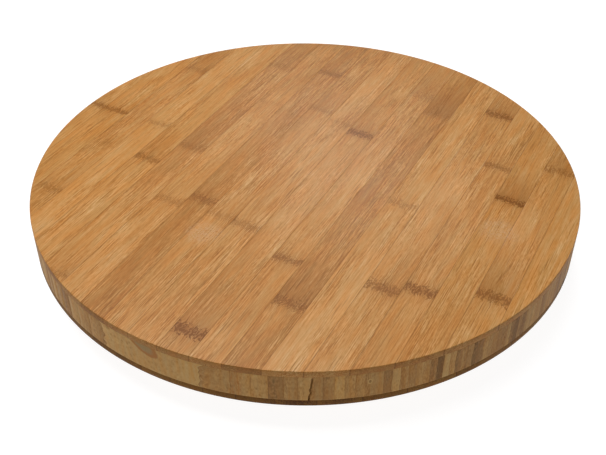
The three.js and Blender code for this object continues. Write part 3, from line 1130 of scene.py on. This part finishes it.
ACCESS_HOLE = 10 * MM
ACCESS_EASE = 0.8 * MM
ACCESS_PLACE = (SCREW_PLACE * math.sqrt(2), 0.0)
BASE_EDGE = 1.5 * MM
NARROWEST_STRIP = 3 * MM

# The joints between the base's strips: how many are tried, and where the first is, in strip widths.
BASE_JOINTS = 11
FIRST_BASE_JOINT = -4.8

FOOT_TAPER = 1.5 * MM
SOLE_EDGE = 0.8 * MM
SOLE_ROUND = 0.7 * MM
HOLLOW_DEPTH = 0.25 * MM


def base_disc():
    """The base: a bamboo disc with an access hole that is eased at both ends."""
    profile = disc_profile(BASE_RADIUS, BASE_BOTTOM, BASE_TOP, BASE_EDGE, BASE_EDGE)
    cutter = eased_hole(ACCESS_HOLE, BASE_BOTTOM, BASE_TOP, ACCESS_EASE, 64, ACCESS_PLACE)
    places = [FACE_STRIP_WIDTH * (i + FIRST_BASE_JOINT) for i in range(BASE_JOINTS)]
    joints = [place for place in places if abs(place) < BASE_RADIUS - NARROWEST_STRIP]
    laminated_disc(
        "base_board", profile, joints, BASE_BAMBOO, "base", "base_disc",
        cutters=[cutter], most_marks=1,
    )


def feet():
    """Rubber bumpers with a rounded shoulder and a shallow hollow in the sole."""
    for node in nodes_named("rubber_foot_"):
        low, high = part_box(node)
        centre = centre_of(node)
        top_radius = (high.x - low.x) / 2
        sole_radius = top_radius - FOOT_TAPER
        profile = [
            (0.35 * sole_radius, low.z + HOLLOW_DEPTH), (0.55 * sole_radius, low.z + 0.8 * HOLLOW_DEPTH),
            (0.68 * sole_radius, low.z), (sole_radius - SOLE_EDGE, low.z),
        ]
        shoulder = reversed(rounded_edge(SOLE_ROUND, 4))
        profile += [(sole_radius - inset, low.z + rise) for inset, rise in shoulder]
        profile += [(top_radius - 0.3 * MM, high.z - 0.4 * MM), (top_radius, high.z - 0.2 * MM)]
        profile.append((top_radius, high.z))
        bm = bmesh.new()
        stacked(bm, [circle(r, z, 64, centre) for r, z in profile])
        add_piece(node.replace("foot", "bumper"), bm, RUBBER, "base", node, 40)


# ---- Stage ----

CAMERA_AZIMUTH = 27.6
CAMERA_ELEVATION = 38.99
CAMERA_DISTANCE = 3.1575 * BOARD_RADIUS
CAMERA_LENS = 54.57
AIM_RIGHT = -0.0071 * BOARD_RADIUS
AIM_BACK = -0.3397 * BOARD_RADIUS
CAMERA_ROLL = 0.24


def camera():
    """The photograph's viewpoint: it looks at a point on the board's top, a little towards the viewer."""
    turn = math.radians(CAMERA_AZIMUTH)
    tilt = math.radians(CAMERA_ELEVATION)
    right = Vector((math.cos(turn), math.sin(turn), 0))
    ahead = Vector((-math.sin(turn), math.cos(turn), 0))
    aim = right * AIM_RIGHT + ahead * AIM_BACK + Vector((0, 0, BOARD_TOP))
    back = -ahead * math.cos(tilt) + Vector((0, 0, math.sin(tilt)))
    data = bpy.data.cameras.new("camera")
    data.lens = CAMERA_LENS
    made = bpy.data.objects.new("camera", data)
    SCENE.collection.objects.link(made)
    made.location = aim + back * CAMERA_DISTANCE
    facing = (-back).to_track_quat("-Z", "Y").to_matrix()
    roll = Matrix.Rotation(math.radians(CAMERA_ROLL), 3, "Z")
    made.rotation_euler = (facing @ roll).to_euler()
    SCENE.camera = made


FLOOR_HALF_SIZE = 20
FLOOR_GLOW = 0.93
BACKDROP_RADIUS = 18
BACKDROP_HEIGHT = 12
WORLD_LIGHT = 0.1


def staged(name, bm, **looks):
    """A piece of the stage from a bmesh, with one plain material."""
    mesh = bpy.data.meshes.new(name)
    bm.to_mesh(mesh)
    bm.free()
    mesh.materials.append(Shader(name).finish(**looks))
    made = bpy.data.objects.new(name, mesh)
    SCENE.collection.objects.link(made)
    return made


def floor():
    """A plain floor that glows, so that it stays nearly white, with only a faint shadow."""
    bm = bmesh.new()
    bmesh.ops.create_grid(bm, x_segments=2, y_segments=2, size=FLOOR_HALF_SIZE)
    staged(
        "floor", bm, Base_Color=(0.2, 0.2, 0.2, 1), Roughness=0.9, Specular_IOR_Level=0.1,
        Emission_Color=(1, 1, 1, 1), Emission_Strength=FLOOR_GLOW,
    )


def backdrop():
    """A white wall all round, far away, for low views. Only the camera sees it, so it lights nothing."""
    bm = bmesh.new()
    side_faces(bm, [circle(BACKDROP_RADIUS, z, 96) for z in (0.0, BACKDROP_HEIGHT)])
    wall = staged(
        "backdrop", bm, Base_Color=(0, 0, 0, 1), Roughness=1.0, Specular_IOR_Level=0.0,
        Emission_Color=(1, 1, 1, 1), Emission_Strength=FLOOR_GLOW,
    )
    wall.visible_diffuse = False
    wall.visible_glossy = False
    wall.visible_transmission = False
    wall.visible_shadow = False


def soft_light(name, direction, distance, size, power):
    """A square soft box that faces the board."""
    data = bpy.data.lights.new(name, "AREA")
    data.shape = "SQUARE"
    data.size = size
    data.energy = power
    made = bpy.data.objects.new(name, data)
    SCENE.collection.objects.link(made)
    away = Vector(direction).normalized()
    made.location = away * distance
    made.rotation_euler = away.to_track_quat("Z", "Y").to_euler()


def lighting():
    """A large key light overhead, and a small one far behind the board for the sheen on its top."""
    world = bpy.data.worlds.new("world")
    world.use_nodes = True
    background = world.node_tree.nodes["Background"]
    background.inputs["Color"].default_value = (1, 1, 1, 1)
    background.inputs["Strength"].default_value = WORLD_LIGHT
    SCENE.world = world
    soft_light("key", direction=(-0.26, -0.05, 1), distance=2.0, size=1.3, power=39)
    soft_light("sheen", direction=(-1.05, 2.45, 1.93), distance=2.6, size=0.45, power=12)
    SCENE.view_settings.view_transform = "Standard"


# ---- Everything ----

camera()
floor()
backdrop()
lighting()
top_ply()
core_panel()
bottom_ply()
bearing_plates()
retainer()
balls()
screws()
base_disc()
feet()
